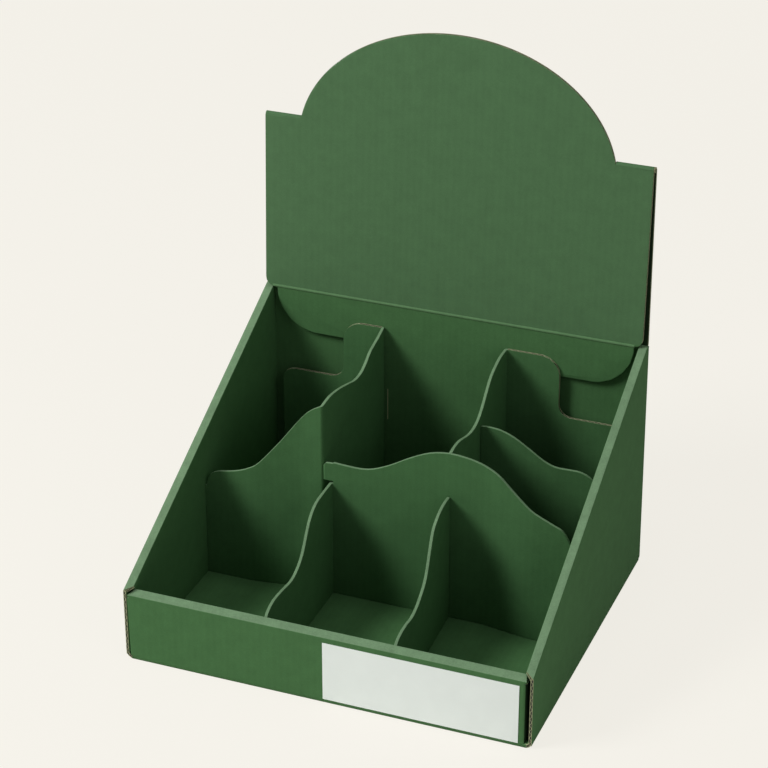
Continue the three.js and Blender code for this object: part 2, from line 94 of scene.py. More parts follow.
def tinted(colour: Colour, gain: float, lift: float = 0.0) -> Colour:
    """Makes a colour lighter or darker.

    Args:
        colour: The linear colour.
        gain: What each of its values is multiplied by.
        lift: What is then added to each.

    Returns:
        The new linear colour.
    """
    return tuple(gain * value + lift for value in colour)


def add_object(name: str, data: bpy.types.ID) -> bpy.types.Object:
    """Puts an object into the scene.

    Args:
        name: Name of the object.
        data: Its mesh, camera or light.

    Returns:
        The new object.
    """
    thing = bpy.data.objects.new(name, data)
    bpy.context.scene.collection.objects.link(thing)
    return thing


def behind_layer_gap(back: float, up: float) -> bool:
    """Tells whether a place lies behind the leaning gap between the header's two layers.

    Args:
        back: Distance behind the middle of the tray, in metres.
        up: Height, in metres.

    Returns:
        Whether it belongs to the rear layer.
    """
    foot, lean = 124.9 * MM, 0.034
    return back > foot + lean * (up - CREASE_HEIGHT * MM)


class Slot(Enum):
    """Surfaces that a dressed sheet is made of, in the order of its material slots."""

    FACE = 0
    CUT = 1
    # The top slot paints up-facing faces a lighter green, as painted light for the extra light
    # they catch.
    LIT_TOP = 2
    # The hidden slot paints faces in gaps between layers dark green, as painted shade for those
    # gaps.
    GAP_SHADE = 3
    # The header slot is a slightly greyer copy of the outside green, painting the sheen that the
    # light gives the header.
    HEADER_SHEEN = 4


class EdgeSlot(Enum):
    """Surfaces of a bare cut edge, in the order of its material slots."""

    LINER = 0
    # The hollow slot is a near-black bar, painted as the shade inside the flutes.
    HOLLOW_SHADE = 1
    PRINTED = 2


@dataclass(frozen=True)
class Zone:
    """Box-shaped part of the tray, with its spans in millimetres from the middle of the tray.

    The first span counts outwards to either side, the second backwards and the third upwards.
    """

    across: Span = ANY
    back: Span = ANY
    up: Span = ANY

    def holds(self, across: float, back: float, up: float) -> bool:
        """Tells whether a place lies inside.

        Args:
            across: Distance to either side of the middle, in metres.
            back: Distance behind the middle, in metres.
            up: Height, in metres.

        Returns:
            Whether all three spans hold it.
        """
        return (self.across[0] * MM < across < self.across[1] * MM
                and self.back[0] * MM < back < self.back[1] * MM
                and self.up[0] * MM < up < self.up[1] * MM)


class NodeSheet:
    """A material's node tree with short ways to add and join nodes."""

    def __init__(self, name: str) -> None:
        """Starts an empty material.

        Args:
            name: Name of the material.
        """
        self.material = bpy.data.materials.new(name)
        self.material.use_nodes = True
        self.tree = self.material.node_tree
        self.tree.nodes.clear()
        self.output = self.add("ShaderNodeOutputMaterial")

    def add(self, kind: str, **values: object) -> bpy.types.Node:
        """Adds one node.

        Args:
            kind: Blender's name of the node's class.
            values: Settings of the node itself.

        Returns:
            The new node.
        """
        node = self.tree.nodes.new(kind)
        for name, value in values.items():
            setattr(node, name, value)
        return node

    def join(self, source: bpy.types.NodeSocket, target: bpy.types.NodeSocket) -> None:
        """Joins two nodes.

        Args:
            source: Output socket of the first.
            target: Input socket of the second.
        """
        self.tree.links.new(source, target)

    def coordinates(self) -> bpy.types.NodeSocket:
        """Adds a node for the place on the object.

        Returns:
            The socket with the place, in metres.
        """
        return self.add("ShaderNodeTexCoord").outputs["Object"]

    def maths(self, operation: str, first: object, second: object, clamp: bool = False
              ) -> bpy.types.NodeSocket:
        """Adds a maths node.

        Args:
            operation: Name of the operation.
            first: A number or a socket.
            second: A number or a socket.
            clamp: Whether the result stays between 0 and 1.

        Returns:
            The socket with the result.
        """
        node = self.add("ShaderNodeMath", operation=operation, use_clamp=clamp)
        for index, value in enumerate((first, second)):
            if isinstance(value, bpy.types.NodeSocket):
                self.join(value, node.inputs[index])
            else:
                node.inputs[index].default_value = float(value)
        return node.outputs[0]

    def swing(self, noise: bpy.types.NodeSocket, gain: float) -> bpy.types.NodeSocket:
        """Turns a noise from 0 to 1 into one about zero.

        Args:
            noise: Socket with the noise.
            gain: Distance between its new ends.

        Returns:
            The socket with the result.
        """
        return self.maths("MULTIPLY", self.maths("SUBTRACT", noise, 0.5), gain)

    def mix(self, share: bpy.types.NodeSocket, low: object, high: object) -> bpy.types.NodeSocket:
        """Mixes two colours.

        Args:
            share: Socket with the share of the second colour.
            low: First colour or socket.
            high: Second colour or socket.

        Returns:
            The socket with the mixed colour.
        """
        node = self.add("ShaderNodeMix", data_type="RGBA")
        self.join(share, node.inputs[0])
        for index, value in ((6, low), (7, high)):
            if isinstance(value, bpy.types.NodeSocket):
                self.join(value, node.inputs[index])
            else:
                node.inputs[index].default_value = (*value, 1.0)
        return node.outputs[2]

    def noise(self, place: bpy.types.NodeSocket, scale: float, detail: float
              ) -> bpy.types.NodeSocket:
        """Adds a noise texture.

        Args:
            place: Socket with the coordinates.
            scale: Number of features in a metre.
            detail: Number of finer layers.

        Returns:
            The socket with the noise, about 0.5 on average.
        """
        node = self.add("ShaderNodeTexNoise")
        node.inputs["Scale"].default_value = scale
        node.inputs["Detail"].default_value = detail
        node.inputs["Roughness"].default_value = 0.55
        self.join(place, node.inputs["Vector"])
        return node.outputs["Fac"]

    def ramp(self, value: bpy.types.NodeSocket, source: Span, target: Span
             ) -> bpy.types.NodeSocket:
        """Maps one range of numbers onto another, held at both ends.

        Args:
            value: Socket with the number.
            source: Both ends of its range.
            target: What the result is at those ends.

        Returns:
            The socket with the result.
        """
        node = self.add("ShaderNodeMapRange", clamp=True)
        node.inputs["From Min"].default_value = source[0]
        node.inputs["From Max"].default_value = source[1]
        node.inputs["To Min"].default_value = target[0]
        node.inputs["To Max"].default_value = target[1]
        self.join(value, node.inputs["Value"])
        return node.outputs[0]

    def bump(self, height: bpy.types.NodeSocket, strength: float, distance: float
             ) -> bpy.types.Node:
        """Adds a fine relief.

        Args:
            height: Socket with the height.
            strength: Strength of the relief.
            distance: Height of the relief, in metres.

        Returns:
            The bump node.
        """
        node = self.add("ShaderNodeBump")
        node.inputs["Strength"].default_value = strength
        node.inputs["Distance"].default_value = distance
        self.join(height, node.inputs["Height"])
        return node

    def paper(self, colour: bpy.types.NodeSocket, roughness: float, relief: bpy.types.Node
              ) -> bpy.types.Node:
        """Ends the material with the shader of a matte surface.

        Args:
            colour: Socket with the colour.
            roughness: Roughness of the surface.
            relief: Bump node of the surface.

        Returns:
            The shader.
        """
        shader = self.add("ShaderNodeBsdfPrincipled")
        self.join(colour, shader.inputs["Base Color"])
        shader.inputs["Roughness"].default_value = roughness
        self.join(relief.outputs[0], shader.inputs["Normal"])
        self.join(shader.outputs[0], self.output.inputs["Surface"])
        return shader


@dataclass(frozen=True)
class BoardPrint:
    """Matte ink printed on corrugated board.

    The ink lets the paper's fibres show as fine mottling, and the flutes under the liner as faint
    straight bands. Rounded edges are painted lighter, partly because the ink is rubbed there and
    partly as a painted highlight where the light catches the folds.
    """

    name: str
    colour: Colour
    roughness: float = 0.78
    sheen: float = 0.04
    mottling: float = 0.16
    fibre_scale: float = 900.0
    speck_scale: float = 2600.0
    cloud_scale: float = 105.0
    fibre_share: float = 2.0
    cloud_share: float = 2.2
    flute_pitch: float = 5.0 * MM
    flute_depth: float = 0.02
    darkest: float = 0.62
    lightest: float = 1.38
    edge_radius: float = 0.5 * MM
    # These lighten rounded edges, partly as rubbed ink and partly as a painted highlight.
    wear_and_highlight: float = 0.45
    wear_and_highlight_facing: Span = (0.985, 0.8)
    worn_and_lit_gain: float = 1.7
    fibre_relief: float = 0.5
    flute_relief: float = 0.12

    def build(self) -> bpy.types.Material:
        """Makes the material.

        Returns:
            The material.
        """
        sheet = NodeSheet(self.name)
        place = sheet.coordinates()
        fibres = sheet.noise(place, self.fibre_scale, detail=3.0)
        specks = sheet.noise(place, self.speck_scale, detail=1.0)
        clouds = sheet.noise(place, self.cloud_scale, detail=4.0)
        axes = sheet.add("ShaderNodeSeparateXYZ")
        sheet.join(place, axes.inputs[0])
        turns = sheet.maths("MULTIPLY", axes.outputs["X"], 2 * math.pi / self.flute_pitch)
        flutes = sheet.maths("SINE", turns, 0.0)

        tone = sheet.swing(fibres, self.mottling * self.fibre_share)
        for part in (sheet.swing(clouds, self.mottling * self.cloud_share),
                     sheet.swing(specks, self.mottling),
                     sheet.maths("MULTIPLY", flutes, self.flute_depth)):
            tone = sheet.maths("ADD", tone, part)
        share = sheet.maths("ADD", tone, 0.5, clamp=True)
        colour = sheet.mix(share, tinted(self.colour, self.darkest),
                           tinted(self.colour, self.lightest, lift=0.004))

        rounded = sheet.add("ShaderNodeBevel", samples=4)
        rounded.inputs["Radius"].default_value = self.edge_radius
        facing = sheet.add("ShaderNodeVectorMath", operation="DOT_PRODUCT")
        sheet.join(rounded.outputs[0], facing.inputs[0])
        sheet.join(sheet.add("ShaderNodeNewGeometry").outputs["True Normal"], facing.inputs[1])
        # Rubbed ink and painted highlight: rounded edges are lightened, partly as worn ink and
        # partly as the light catching the folds.
        rubbed = sheet.ramp(facing.outputs["Value"], self.wear_and_highlight_facing, (0.0, self.wear_and_highlight))
        colour = sheet.mix(rubbed, colour, tinted(self.colour, self.worn_and_lit_gain, lift=0.02))

        height = sheet.maths("ADD", sheet.maths("MULTIPLY", fibres, self.fibre_relief),
                             sheet.maths("MULTIPLY", flutes, self.flute_relief))
        relief = sheet.bump(height, strength=0.35, distance=0.12 * MM)
        sheet.join(rounded.outputs[0], relief.inputs["Normal"])
        shader = sheet.paper(colour, self.roughness, relief)
        shader.inputs["Specular IOR Level"].default_value = self.sheen
        return sheet.material


@dataclass(frozen=True)
class RawPaper:
    """Bare brown paper, as the liners and the flutes show at a cut edge."""

    name: str
    colour: Colour
    roughness: float = 0.9
    mottling: float = 0.35
    fibre_scale: float = 1500.0
    cloud_scale: float = 160.0
    fibre_share: float = 0.6
    cloud_share: float = 0.4

    def build(self) -> bpy.types.Material:
        """Makes the material.

        Returns:
            The material.
        """
        sheet = NodeSheet(self.name)
        place = sheet.coordinates()
        fibres = sheet.noise(place, self.fibre_scale, detail=3.0)
        clouds = sheet.noise(place, self.cloud_scale, detail=2.0)
        share = sheet.maths("ADD", sheet.maths("MULTIPLY", fibres, self.fibre_share),
                            sheet.maths("MULTIPLY", clouds, self.cloud_share), clamp=True)
        colour = sheet.mix(share, tinted(self.colour, 1 - self.mottling),
                           tinted(self.colour, 1 + self.mottling))
        relief = sheet.bump(fibres, strength=0.5, distance=0.1 * MM)
        sheet.paper(colour, self.roughness, relief)
        return sheet.material


@dataclass(frozen=True)
class LabelPaper:
    """Smooth white sticker paper with a slight grey-green cast and soft marks."""

    name: str
    colour: Colour
    roughness: float = 0.6
    cloud_scale: float = 60.0
    fibre_scale: float = 1800.0
    cloud_share: float = 0.7
    fibre_share: float = 0.3
    darkest: float = 0.94
    lightest: float = 1.05

    def build(self) -> bpy.types.Material:
        """Makes the material.

        Returns:
            The material.
        """
        sheet = NodeSheet(self.name)
        place = sheet.coordinates()
        clouds = sheet.noise(place, self.cloud_scale, detail=3.0)
        fibres = sheet.noise(place, self.fibre_scale, detail=2.0)
        share = sheet.maths("ADD", sheet.maths("MULTIPLY", clouds, self.cloud_share),
                            sheet.maths("MULTIPLY", fibres, self.fibre_share))
        colour = sheet.mix(share, tinted(self.colour, self.darkest),
                           tinted(self.colour, self.lightest))
        relief = sheet.bump(fibres, strength=0.2, distance=0.05 * MM)
        sheet.paper(colour, self.roughness, relief)
        return sheet.material


@dataclass(frozen=True)
class FloorPaint:
    """Pale studio floor that keeps part of the shadows.

    It glows in the backdrop's colour, and wholly so at some distance, so that no horizon shows.
    """

    name: str
    colour: Colour
    glow: float = 0.9
    near: float = 0.7
    far: float = 3.0

    def build(self) -> bpy.types.Material:
        """Makes the material.

        Returns:
            The material.
        """
        sheet = NodeSheet(self.name)
        path = sheet.add("ShaderNodeLightPath")
        seen = path.outputs["Is Camera Ray"]
        for ray in ("Is Glossy Ray", "Is Transmission Ray"):
            seen = sheet.maths("ADD", seen, path.outputs[ray], clamp=True)
        matte = sheet.add("ShaderNodeBsdfDiffuse")
        matte.inputs["Color"].default_value = (*self.colour, 1.0)
        glow = sheet.add("ShaderNodeEmission")
        glow.inputs["Color"].default_value = (*self.colour, 1.0)
        glow.inputs["Strength"].default_value = 1.0
        reach = sheet.add("ShaderNodeVectorMath", operation="LENGTH")
        sheet.join(sheet.coordinates(), reach.inputs[0])
        share = sheet.ramp(reach.outputs["Value"], (self.near, self.far), (self.glow, 1.0))
        mix = sheet.add("ShaderNodeMixShader")
        sheet.join(sheet.maths("MULTIPLY", seen, share), mix.inputs[0])
        sheet.join(matte.outputs[0], mix.inputs[1])
        sheet.join(glow.outputs[0], mix.inputs[2])
        sheet.join(mix.outputs[0], sheet.output.inputs["Surface"])
        return sheet.material


@dataclass(frozen=True)
class TrayTrim:
    """How the tray's sheet is cut and bent away from its plain solid.

    It mitres the ends of the sloping strips, opens the gap at the right front corner, rounds the
    left bottom more, lifts the rear corners and widens the header's rear layer at the right. A
    pair is for the left and the right side, except `header_reach`, from its foot to its top.
    """

    shift: float
    roof_cut: float = 4.5 * MM
    roof_slope: float = 0.482
    strip_reach: Span = (4.3 * MM, 2.1 * MM)
    panel_reach: Span = (2.4 * MM, 0.2 * MM)
    corner_gap: float = 2.4 * MM
    corner_close: float = 0.9 * MM
    corner_limit: float = 147.95 * MM
    left_rounding: float = 1.3
    rear_lift: float = 2.8 * MM
    rear_tuck: Span = (-0.4 * MM, 1.6 * MM)
    header_reach: Span = (2.9 * MM, 1.2 * MM)
    bottom_bend: Zone = Zone(across=(146.3, math.inf), up=(-math.inf, 3.8))
    roof_end: Zone = Zone(across=(143.4, 148.2), back=(-math.inf, -127), up=(52.5, math.inf))
    strip_end: Zone = Zone(across=(143, 143.4), back=(-math.inf, -121), up=(49.9, math.inf))
    right_corner: Zone = Zone(across=(144.5, 147.85), back=(-math.inf, -125), up=(1.9, 52.5))
    left_corner: Zone = Zone(across=(145.9, 147.85), back=(-math.inf, -125), up=(1.9, 52.5))
    rear_corner: Zone = Zone(across=(143.3, math.inf), back=(112, math.inf), up=(165, 179.7))
    rear_flap: Zone = Zone(across=(145.6, 147.8))
    header_edge: Zone = Zone(across=(144.9, math.inf), up=(180.5, math.inf))

    def place(self, point: Vector) -> Vector:
        """Gives the place that a point of the plain sheet takes.

        Args:
            point: Place on the plain sheet, in the scene.

        Returns:
            Its place on the trimmed sheet.
        """
        side = 1 if point.x > 0 else -1
        spot = across, back, up = abs(point.x), point.y - self.shift, point.z
        moved = point.copy()
        if side < 0 and self.bottom_bend.holds(*spot):
            self.round_bottom(moved, across, up)
        elif self.roof_end.holds(*spot):
            inside, width = (HALF_WIDTH - BOARD) * MM, 4.5 * MM
            cut = self.roof_cut * max(0.0, (inside - across) / width)
            moved.y += cut
            moved.z += cut * self.roof_slope
        elif self.strip_end.holds(*spot):
            reaches = self.strip_reach if up > 50.5 * MM else self.panel_reach
            inside, width = -121.5 * MM, 6.0 * MM
            moved.x += side * reaches[side > 0] * min(1.0, (inside - back) / width)
        elif side > 0 and self.right_corner.holds(*spot):
            moved.x -= self.corner_gap
        elif side < 0 and self.left_corner.holds(*spot):
            moved.x = -min(self.corner_limit, across + self.corner_close)
        elif self.rear_corner.holds(*spot) and not self.rear_flap.holds(*spot):
            moved.z += self.rear_lift
            moved.x -= self.rear_tuck[side > 0]
        elif side > 0 and self.header_edge.holds(*spot) and behind_layer_gap(back, up):
            foot, height = CREASE_HEIGHT * MM, 134.7 * MM
            share = min(1.0, max(0.0, (up - foot) / height))
            low, high = self.header_reach
            moved.x += low + (high - low) * share
        return moved

    def round_bottom(self, moved: Vector, across: float, up: float) -> None:
        """Makes the bend between the left side and the base wider.

        Args:
            moved: Place in the scene, which is changed.
            across: Its distance from the middle of the tray.
            up: Its height.
        """
        middle, height, radius = 146.5 * MM, 3.5 * MM, 2.5 * MM
        if math.hypot(across - middle, up - height) > radius:
            corner, floor = HALF_WIDTH * MM, 0.0
        else:
            corner, floor = (HALF_WIDTH - BOARD) * MM, BOARD * MM
        moved.x = -(corner + (across - corner) * self.left_rounding)
        moved.z = floor + (up - floor) * self.left_rounding


@dataclass
class DressedSheet:
    """One folded sheet of board, dressed from its solid.

    A chooser gives each face its surface, from the face's middle and direction on the plain
    solid. The trim, if there is one, moves the points after that.
    """

    node: str
    slot: str
    finishes: dict[Slot, bpy.types.Material]
    choose: Callable[[Vector, Vector], Slot]
    smooth_angle: float = math.radians(35)
    trim: TrayTrim | None = None

    def build(self) -> bpy.types.Object:
        """Makes the dressed piece and lets it stand for its solid.

        Returns:
            The dressed piece.
        """
        name = f"{self.node}_board"
        mesh = bpy.data.objects[self.node].data.copy()
        mesh.name = name
        mesh.materials.clear()
        for slot in Slot:
            mesh.materials.append(self.finishes[slot])
        form = bmesh.new()
        form.from_mesh(mesh)
        bmesh.ops.remove_doubles(form, verts=form.verts, dist=1e-6)
        form.normal_update()
        for face in form.faces:
            face.smooth = True
            face.material_index = self.choose(face.calc_center_median(), face.normal).value
        if self.trim is not None:
            for vert in form.verts:
                vert.co = self.trim.place(vert.co)
            form.normal_update()
        form.to_mesh(mesh)
        form.free()
        mesh.set_sharp_from_angle(angle=self.smooth_angle)
        piece = add_object(name, mesh)
        weighted = piece.modifiers.new("even_shading", "WEIGHTED_NORMAL")
        weighted.keep_sharp = True
        weighted.weight = 100
        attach(piece, "root")
        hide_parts(self.node)
        LOG.info("%s: %d faces", piece.name, len(mesh.polygons))
        return piece


class Station(NamedTuple):
    """One step along a cut edge: its place, three directions and how far the flutes have run."""

    place: Vector
    along: Vector
    across: Vector
    out: Vector
    run: float


@dataclass
class EdgePath:
    """Line that a cut edge of the board follows.

    It has the directions across the board and out of the edge at each point. The ripple is the
    direction that the flutes follow one another in, or nothing where they follow the edge.
    """

    points: list[Vector]
    across: list[Vector]
    out: list[Vector]
    ripple: Vector | None = None

    def sampled(self, step: float) -> list[Station]:
        """Walks along the line in even steps.

        Args:
            step: Length of a step.

        Returns:
            The steps.
        """
        lengths = [(b - a).length for a, b in zip(self.points, self.points[1:])]
        total = sum(lengths)
        count = max(2, round(total / step))
        walk = []
        index, passed = 0, 0.0
        for k in range(count + 1):
            at = total * k / count
            while index < len(lengths) - 1 and at > passed + lengths[index]:
                passed += lengths[index]
                index += 1
            share = min(1.0, (at - passed) / lengths[index])
            place = self.points[index].lerp(self.points[index + 1], share)
            along = (self.points[index + 1] - self.points[index]).normalized()
            across = self.across[index].lerp(self.across[index + 1], share).normalized()
            out = self.out[index].lerp(self.out[index + 1], share).normalized()
            run = at if self.ripple is None else place.dot(self.ripple)
            walk.append(Station(place, along, across, out, run))
        return walk


@dataclass
class FlutedEdges:
    """Bare cut edges of one sheet of board.

    Each has two liners with the wavy middle paper between them, over a near-black bar painted as
    the shade inside the flutes.
    """

    name: str
    slot: str
    liner: bpy.types.Material
    # The hollow material paints the shade inside the flutes near-black.
    hollow: bpy.types.Material
    printed: bpy.types.Material
    board: float = BOARD * MM
    liner_thickness: float = 0.24 * MM
    wave_thickness: float = 0.32 * MM
    wave_tuck: float = 0.35
    wave_proud: float = 0.8
    pitch: float = 5.0 * MM
    proud: float = 0.14 * MM
    hollow_proud: float = 0.04 * MM
    sunk: float = -0.02 * MM
    slit_depth: float = 0.2 * MM
    steps: int = 16
    paths: list[EdgePath] = field(default_factory=list)
    slits: list[list[Vector]] = field(default_factory=list)

    def add(self, points: list[Vector], across: list[Vector], out: list[Vector],
            ripple: Vector | None = None) -> None:
        """Adds one cut edge.

        Args:
            points: Middle of the edge, point by point.
            across: Direction through the board at each point.
            out: Direction out of the edge at each point.
            ripple: Direction that the flutes follow one another in, or nothing where they follow
                the edge itself.
        """
        self.paths.append(EdgePath(points, across, out, ripple))

    @staticmethod
    def sweep(form: bmesh.types.BMesh, rows: list[list[Vector]], slot: EdgeSlot,
              printed_side: int | None = None) -> None:
        """Joins rows of four corners into a closed bar.

        Args:
            form: Mesh that takes the bar.
            rows: The four corners at each step.
            slot: Surface of the bar.
            printed_side: Side of the bar that shows the sheet's print, or nothing where none does.
        """
        verts = [[form.verts.new(corner) for corner in row] for row in rows]
        for low, high in zip(verts, verts[1:]):
            for k in range(4):
                following = (k + 1) % 4
                face = form.faces.new((low[k], low[following], high[following], high[k]))
                face.material_index = (EdgeSlot.PRINTED if k == printed_side else slot).value
                face.smooth = False
        for ring in (verts[0][::-1], verts[-1]):
            form.faces.new(ring).material_index = slot.value

    @staticmethod
    def bar(walk: list[Station], across: Span, out: Span) -> list[list[Vector]]:
        """Gives the rows of a bar along a cut edge.

        Args:
            walk: Steps along the edge.
            across: Both sides of the bar, across the board.
            out: Foot and top of the bar, out of the edge.

        Returns:
            The four corners at each step. Side 1 of the bar is the one at across[1].
        """
        corners = ((across[0], out[0]), (across[1], out[0]), (across[1], out[1]),
                   (across[0], out[1]))
        return [[stop.place + stop.across * a + stop.out * b for a, b in corners]
                for stop in walk]

    def trace(self, form: bmesh.types.BMesh, path: EdgePath) -> None:
        """Builds one cut edge.

        Args:
            form: Mesh that takes it.
            path: Line that it follows.
        """
        half = self.board / 2
        coarse = path.sampled(self.pitch / 2)
        # Painted shade: a near-black bar between the liners stands for the shade inside the
        # flutes.
        self.sweep(form, self.bar(coarse, (-half, half), (self.sunk, self.hollow_proud)),
                   EdgeSlot.HOLLOW_SHADE)
        for side in (-1, 1):
            liner = (side * (half - self.liner_thickness), side * half)
            self.sweep(form, self.bar(coarse, liner, (self.sunk, self.proud)),
                       EdgeSlot.LINER, printed_side=1)
        self.sweep(form, self.wave(path), EdgeSlot.LINER)

    def wave(self, path: EdgePath) -> list[list[Vector]]:
        """Gives the rows of the wavy middle paper.

        Args:
            path: Line that the cut edge follows.

        Returns:
            The four corners at each step.
        """
        reach = self.board / 2 - self.liner_thickness - self.wave_tuck * self.wave_thickness
        rows = []
        for place, along, across, out, run in path.sampled(self.pitch / self.steps):
            turn = 2 * math.pi * run / self.pitch
            rise = reach * math.cos(turn) * 2 * math.pi / self.pitch
            middle = place + across * reach * math.sin(turn)
            normal = (across - along * rise).normalized() * self.wave_thickness / 2
            top = out * self.wave_proud * self.proud
            rows.append([middle - normal, middle + normal, middle + normal + top,
                         middle - normal + top])
        return rows

    def build(self) -> bpy.types.Object:
        """Makes all the cut edges of one sheet as one piece.

        Returns:
            The piece.
        """
        form = bmesh.new()
        for path in self.paths:
            self.trace(form, path)
        half = self.liner_thickness
        corners = ((-half, self.slit_depth), (half, self.slit_depth), (half, -self.proud),
                   (-half, -self.proud))
        for slit in self.slits:
            self.sweep(form, [[place + Vector((a, b, 0)) for a, b in corners] for place in slit],
                       EdgeSlot.LINER)
        bmesh.ops.recalc_face_normals(form, faces=form.faces)
        mesh = bpy.data.meshes.new(self.name)
        form.to_mesh(mesh)
        form.free()
        for finish in (self.liner, self.hollow, self.printed):
            mesh.materials.append(finish)
        piece = add_object(self.name, mesh)
        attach(piece, "root")
        LOG.info("%s: %d faces", piece.name, len(mesh.polygons))
        return piece


class Layer(NamedTuple):
    """One leaning layer of the header: where it stands, how it leans and where its edge starts."""

    foot: float
    lean: float
    start: float


@dataclass
class TrayEdges:
    """Places of the tray's bare cut edges, in millimetres from the middle of the tray."""

    shift: float
    trim: TrayTrim
    front_height: float = 56.0
    side_band: float = 6.5
    corner_radius: float = 3.5
    corner_turns: tuple[float, ...] = (0.3, 0.6, 0.9, 1.2, 1.4, math.pi / 2)
    strip_end: float = 143.2
    strip_line: tuple[Span, Span] = ((-127.6, 51.1), (-122.1, 53.8))
    header_sides: tuple[Span, Span] = ((-148.3, -1), (145.1, 1))
    shoulder: float = 134.675
    front_layer: Layer = Layer(123.5, math.radians(2.455), 6.0)
    rear_layer: Layer = Layer(HALF_DEPTH, math.radians(1.5), 0.5)
    arch_middle: float = -1.4
    arch_half_width: float = 120.4
    arch_rise: float = 92.8
    arch_sink: float = 14.375
    arch_steps: int = 64
    slit: tuple[float, float] = (-50.1, 121.4)
    slit_heights: tuple[float, ...] = (84.7, 97.5, 110.4)

    def at(self, x: float, y: float, z: float) -> Vector:
        """Turns a place on the tray into one in the scene.

        Args:
            x: Millimetres to the right of the middle.
            y: Millimetres behind the middle.
            z: Height in millimetres.

        Returns:
            The place in the scene.
        """
        return Vector((x * MM, y * MM + self.shift, z * MM))

    def on_layer(self, layer: Layer, x: float, up: float) -> Vector:
        """Gives a place in the middle of one of the header's layers.

        Args:
            layer: The layer.
            x: Millimetres to the right of the tray's middle.
            up: Millimetres up along the layer.

        Returns:
            The place in the scene.
        """
        y = layer.foot + up * math.sin(layer.lean) - BOARD / 2 * math.cos(layer.lean)
        return self.at(x, y, CREASE_HEIGHT + up * math.cos(layer.lean))

    def add_front_ends(self, edges: FlutedEdges) -> None:
        """Adds the front ends of the side walls, each with its strip on top.

        Args:
            edges: What takes the edges.
        """
        half = BOARD / 2
        x, y, top = HALF_WIDTH - half, -HALF_DEPTH, self.front_height - half
        for side in (-1, 1):
            radius = self.corner_radius * (1 if side > 0 else self.trim.left_rounding)
            line = [(x - radius + radius * math.sin(turn), half + radius - radius * math.cos(turn))
                    for turn in self.corner_turns] + [(x, 30.0), (x, top)]
            across = [Vector((side * math.sin(turn), 0, -math.cos(turn)))
                      for turn in self.corner_turns] + [Vector((side, 0, 0))] * 2
            points = [self.at(side * px, y, pz) for px, pz in line]
            edges.add(points, across, [Vector((0, -1, 0))] * len(points))
            strip = [self.trim.place(self.at(side * px, y, top))
                     for px in (HALF_WIDTH - BOARD, HALF_WIDTH - self.side_band)]
            out = (strip[1] - strip[0]).cross(ROOF_NORMAL).normalized() * -side
            edges.add(strip, [ROOF_NORMAL] * 2, [out] * 2)

    def add_strip_ends(self, edges: FlutedEdges) -> None:
        """Adds the two ends of the front wall's sloping strip.

        Args:
            edges: What takes the edges.
        """
        for side in (-1, 1):
            points = [self.trim.place(self.at(side * self.strip_end, y, z))
                      for y, z in self.strip_line]
            out = (points[1] - points[0]).cross(ROOF_NORMAL).normalized() * side
            edges.add(points, [ROOF_NORMAL] * 2, [out] * 2)

    def add_header_sides(self, edges: FlutedEdges, layer: Layer) -> None:
        """Adds the side edges of one of the header's layers.

        Args:
            edges: What takes the edges.
            layer: The layer.
        """
        normal = Vector((0, math.cos(layer.lean), -math.sin(layer.lean)))
        for x, side in self.header_sides:
            points = [self.trim.place(self.on_layer(layer, x, up))
                      for up in (layer.start, self.shoulder / 2, self.shoulder)]
            edges.add(points, [normal] * 3, [Vector((side, 0, 0))] * 3, Vector((0, 0, 1)))

    def add_arch(self, edges: FlutedEdges, layer: Layer, sign: int) -> None:
        """Adds the edge of the arch, or of the opening that it was cut from.

        Args:
            edges: What takes the edges.
            layer: The layer of the header that has it.
            sign: 1 for the arch, and -1 for the opening.
        """
        normal = Vector((0, math.cos(layer.lean), -math.sin(layer.lean)))
        start = math.asin(self.arch_sink / self.arch_rise)
        points, outs = [], []
        for k in range(self.arch_steps + 1):
            turn = start + (math.pi - 2 * start) * k / self.arch_steps
            x = self.arch_middle + self.arch_half_width * math.cos(turn)
            up = self.shoulder + sign * (self.arch_rise * math.sin(turn) - self.arch_sink)
            points.append(self.on_layer(layer, x, up))
            out = Vector((math.cos(turn) / self.arch_half_width, 0,
                          sign * math.sin(turn) / self.arch_rise))
            outs.append(out.normalized() * sign)
        edges.add(points, [normal] * len(points), outs, Vector((0, 0, 1)))

    def build(self, edges: FlutedEdges) -> None:
        """Adds every bare edge of the tray and makes the piece.

        The slit is the short upright one whose edge shows on the tongue beside the left tower.

        Args:
            edges: What takes the edges.
        """
        edges.slits.append([self.at(*self.slit, z) for z in self.slit_heights])
        self.add_front_ends(edges)
        self.add_strip_ends(edges)
        self.add_header_sides(edges, self.front_layer)
        self.add_header_sides(edges, self.rear_layer)
        self.add_arch(edges, self.front_layer, 1)
        self.add_arch(edges, self.rear_layer, -1)
        edges.build()


class Arc(NamedTuple):
    """Curve on the top edge of a back panel, seen from the front and counted outwards.

    The sign is 1 where the board lies inside the curve, and -1 where it lies outside.
    """

    x: float
    z: float
    radius: float
    start: float
    end: float
    sign: int

    def walk(self, steps: int = 8) -> list[tuple[float, float, float, float]]:
        """Walks round the curve.

        Args:
            steps: Number of steps.

        Returns:
            Place and direction out of the board, point by point.
        """
        turns = [self.start + (self.end - self.start) * k / steps for k in range(steps + 1)]
        return [(self.x + self.radius * math.cos(turn), self.z + self.radius * math.sin(turn),
                 self.sign * math.cos(turn), self.sign * math.sin(turn)) for turn in turns]


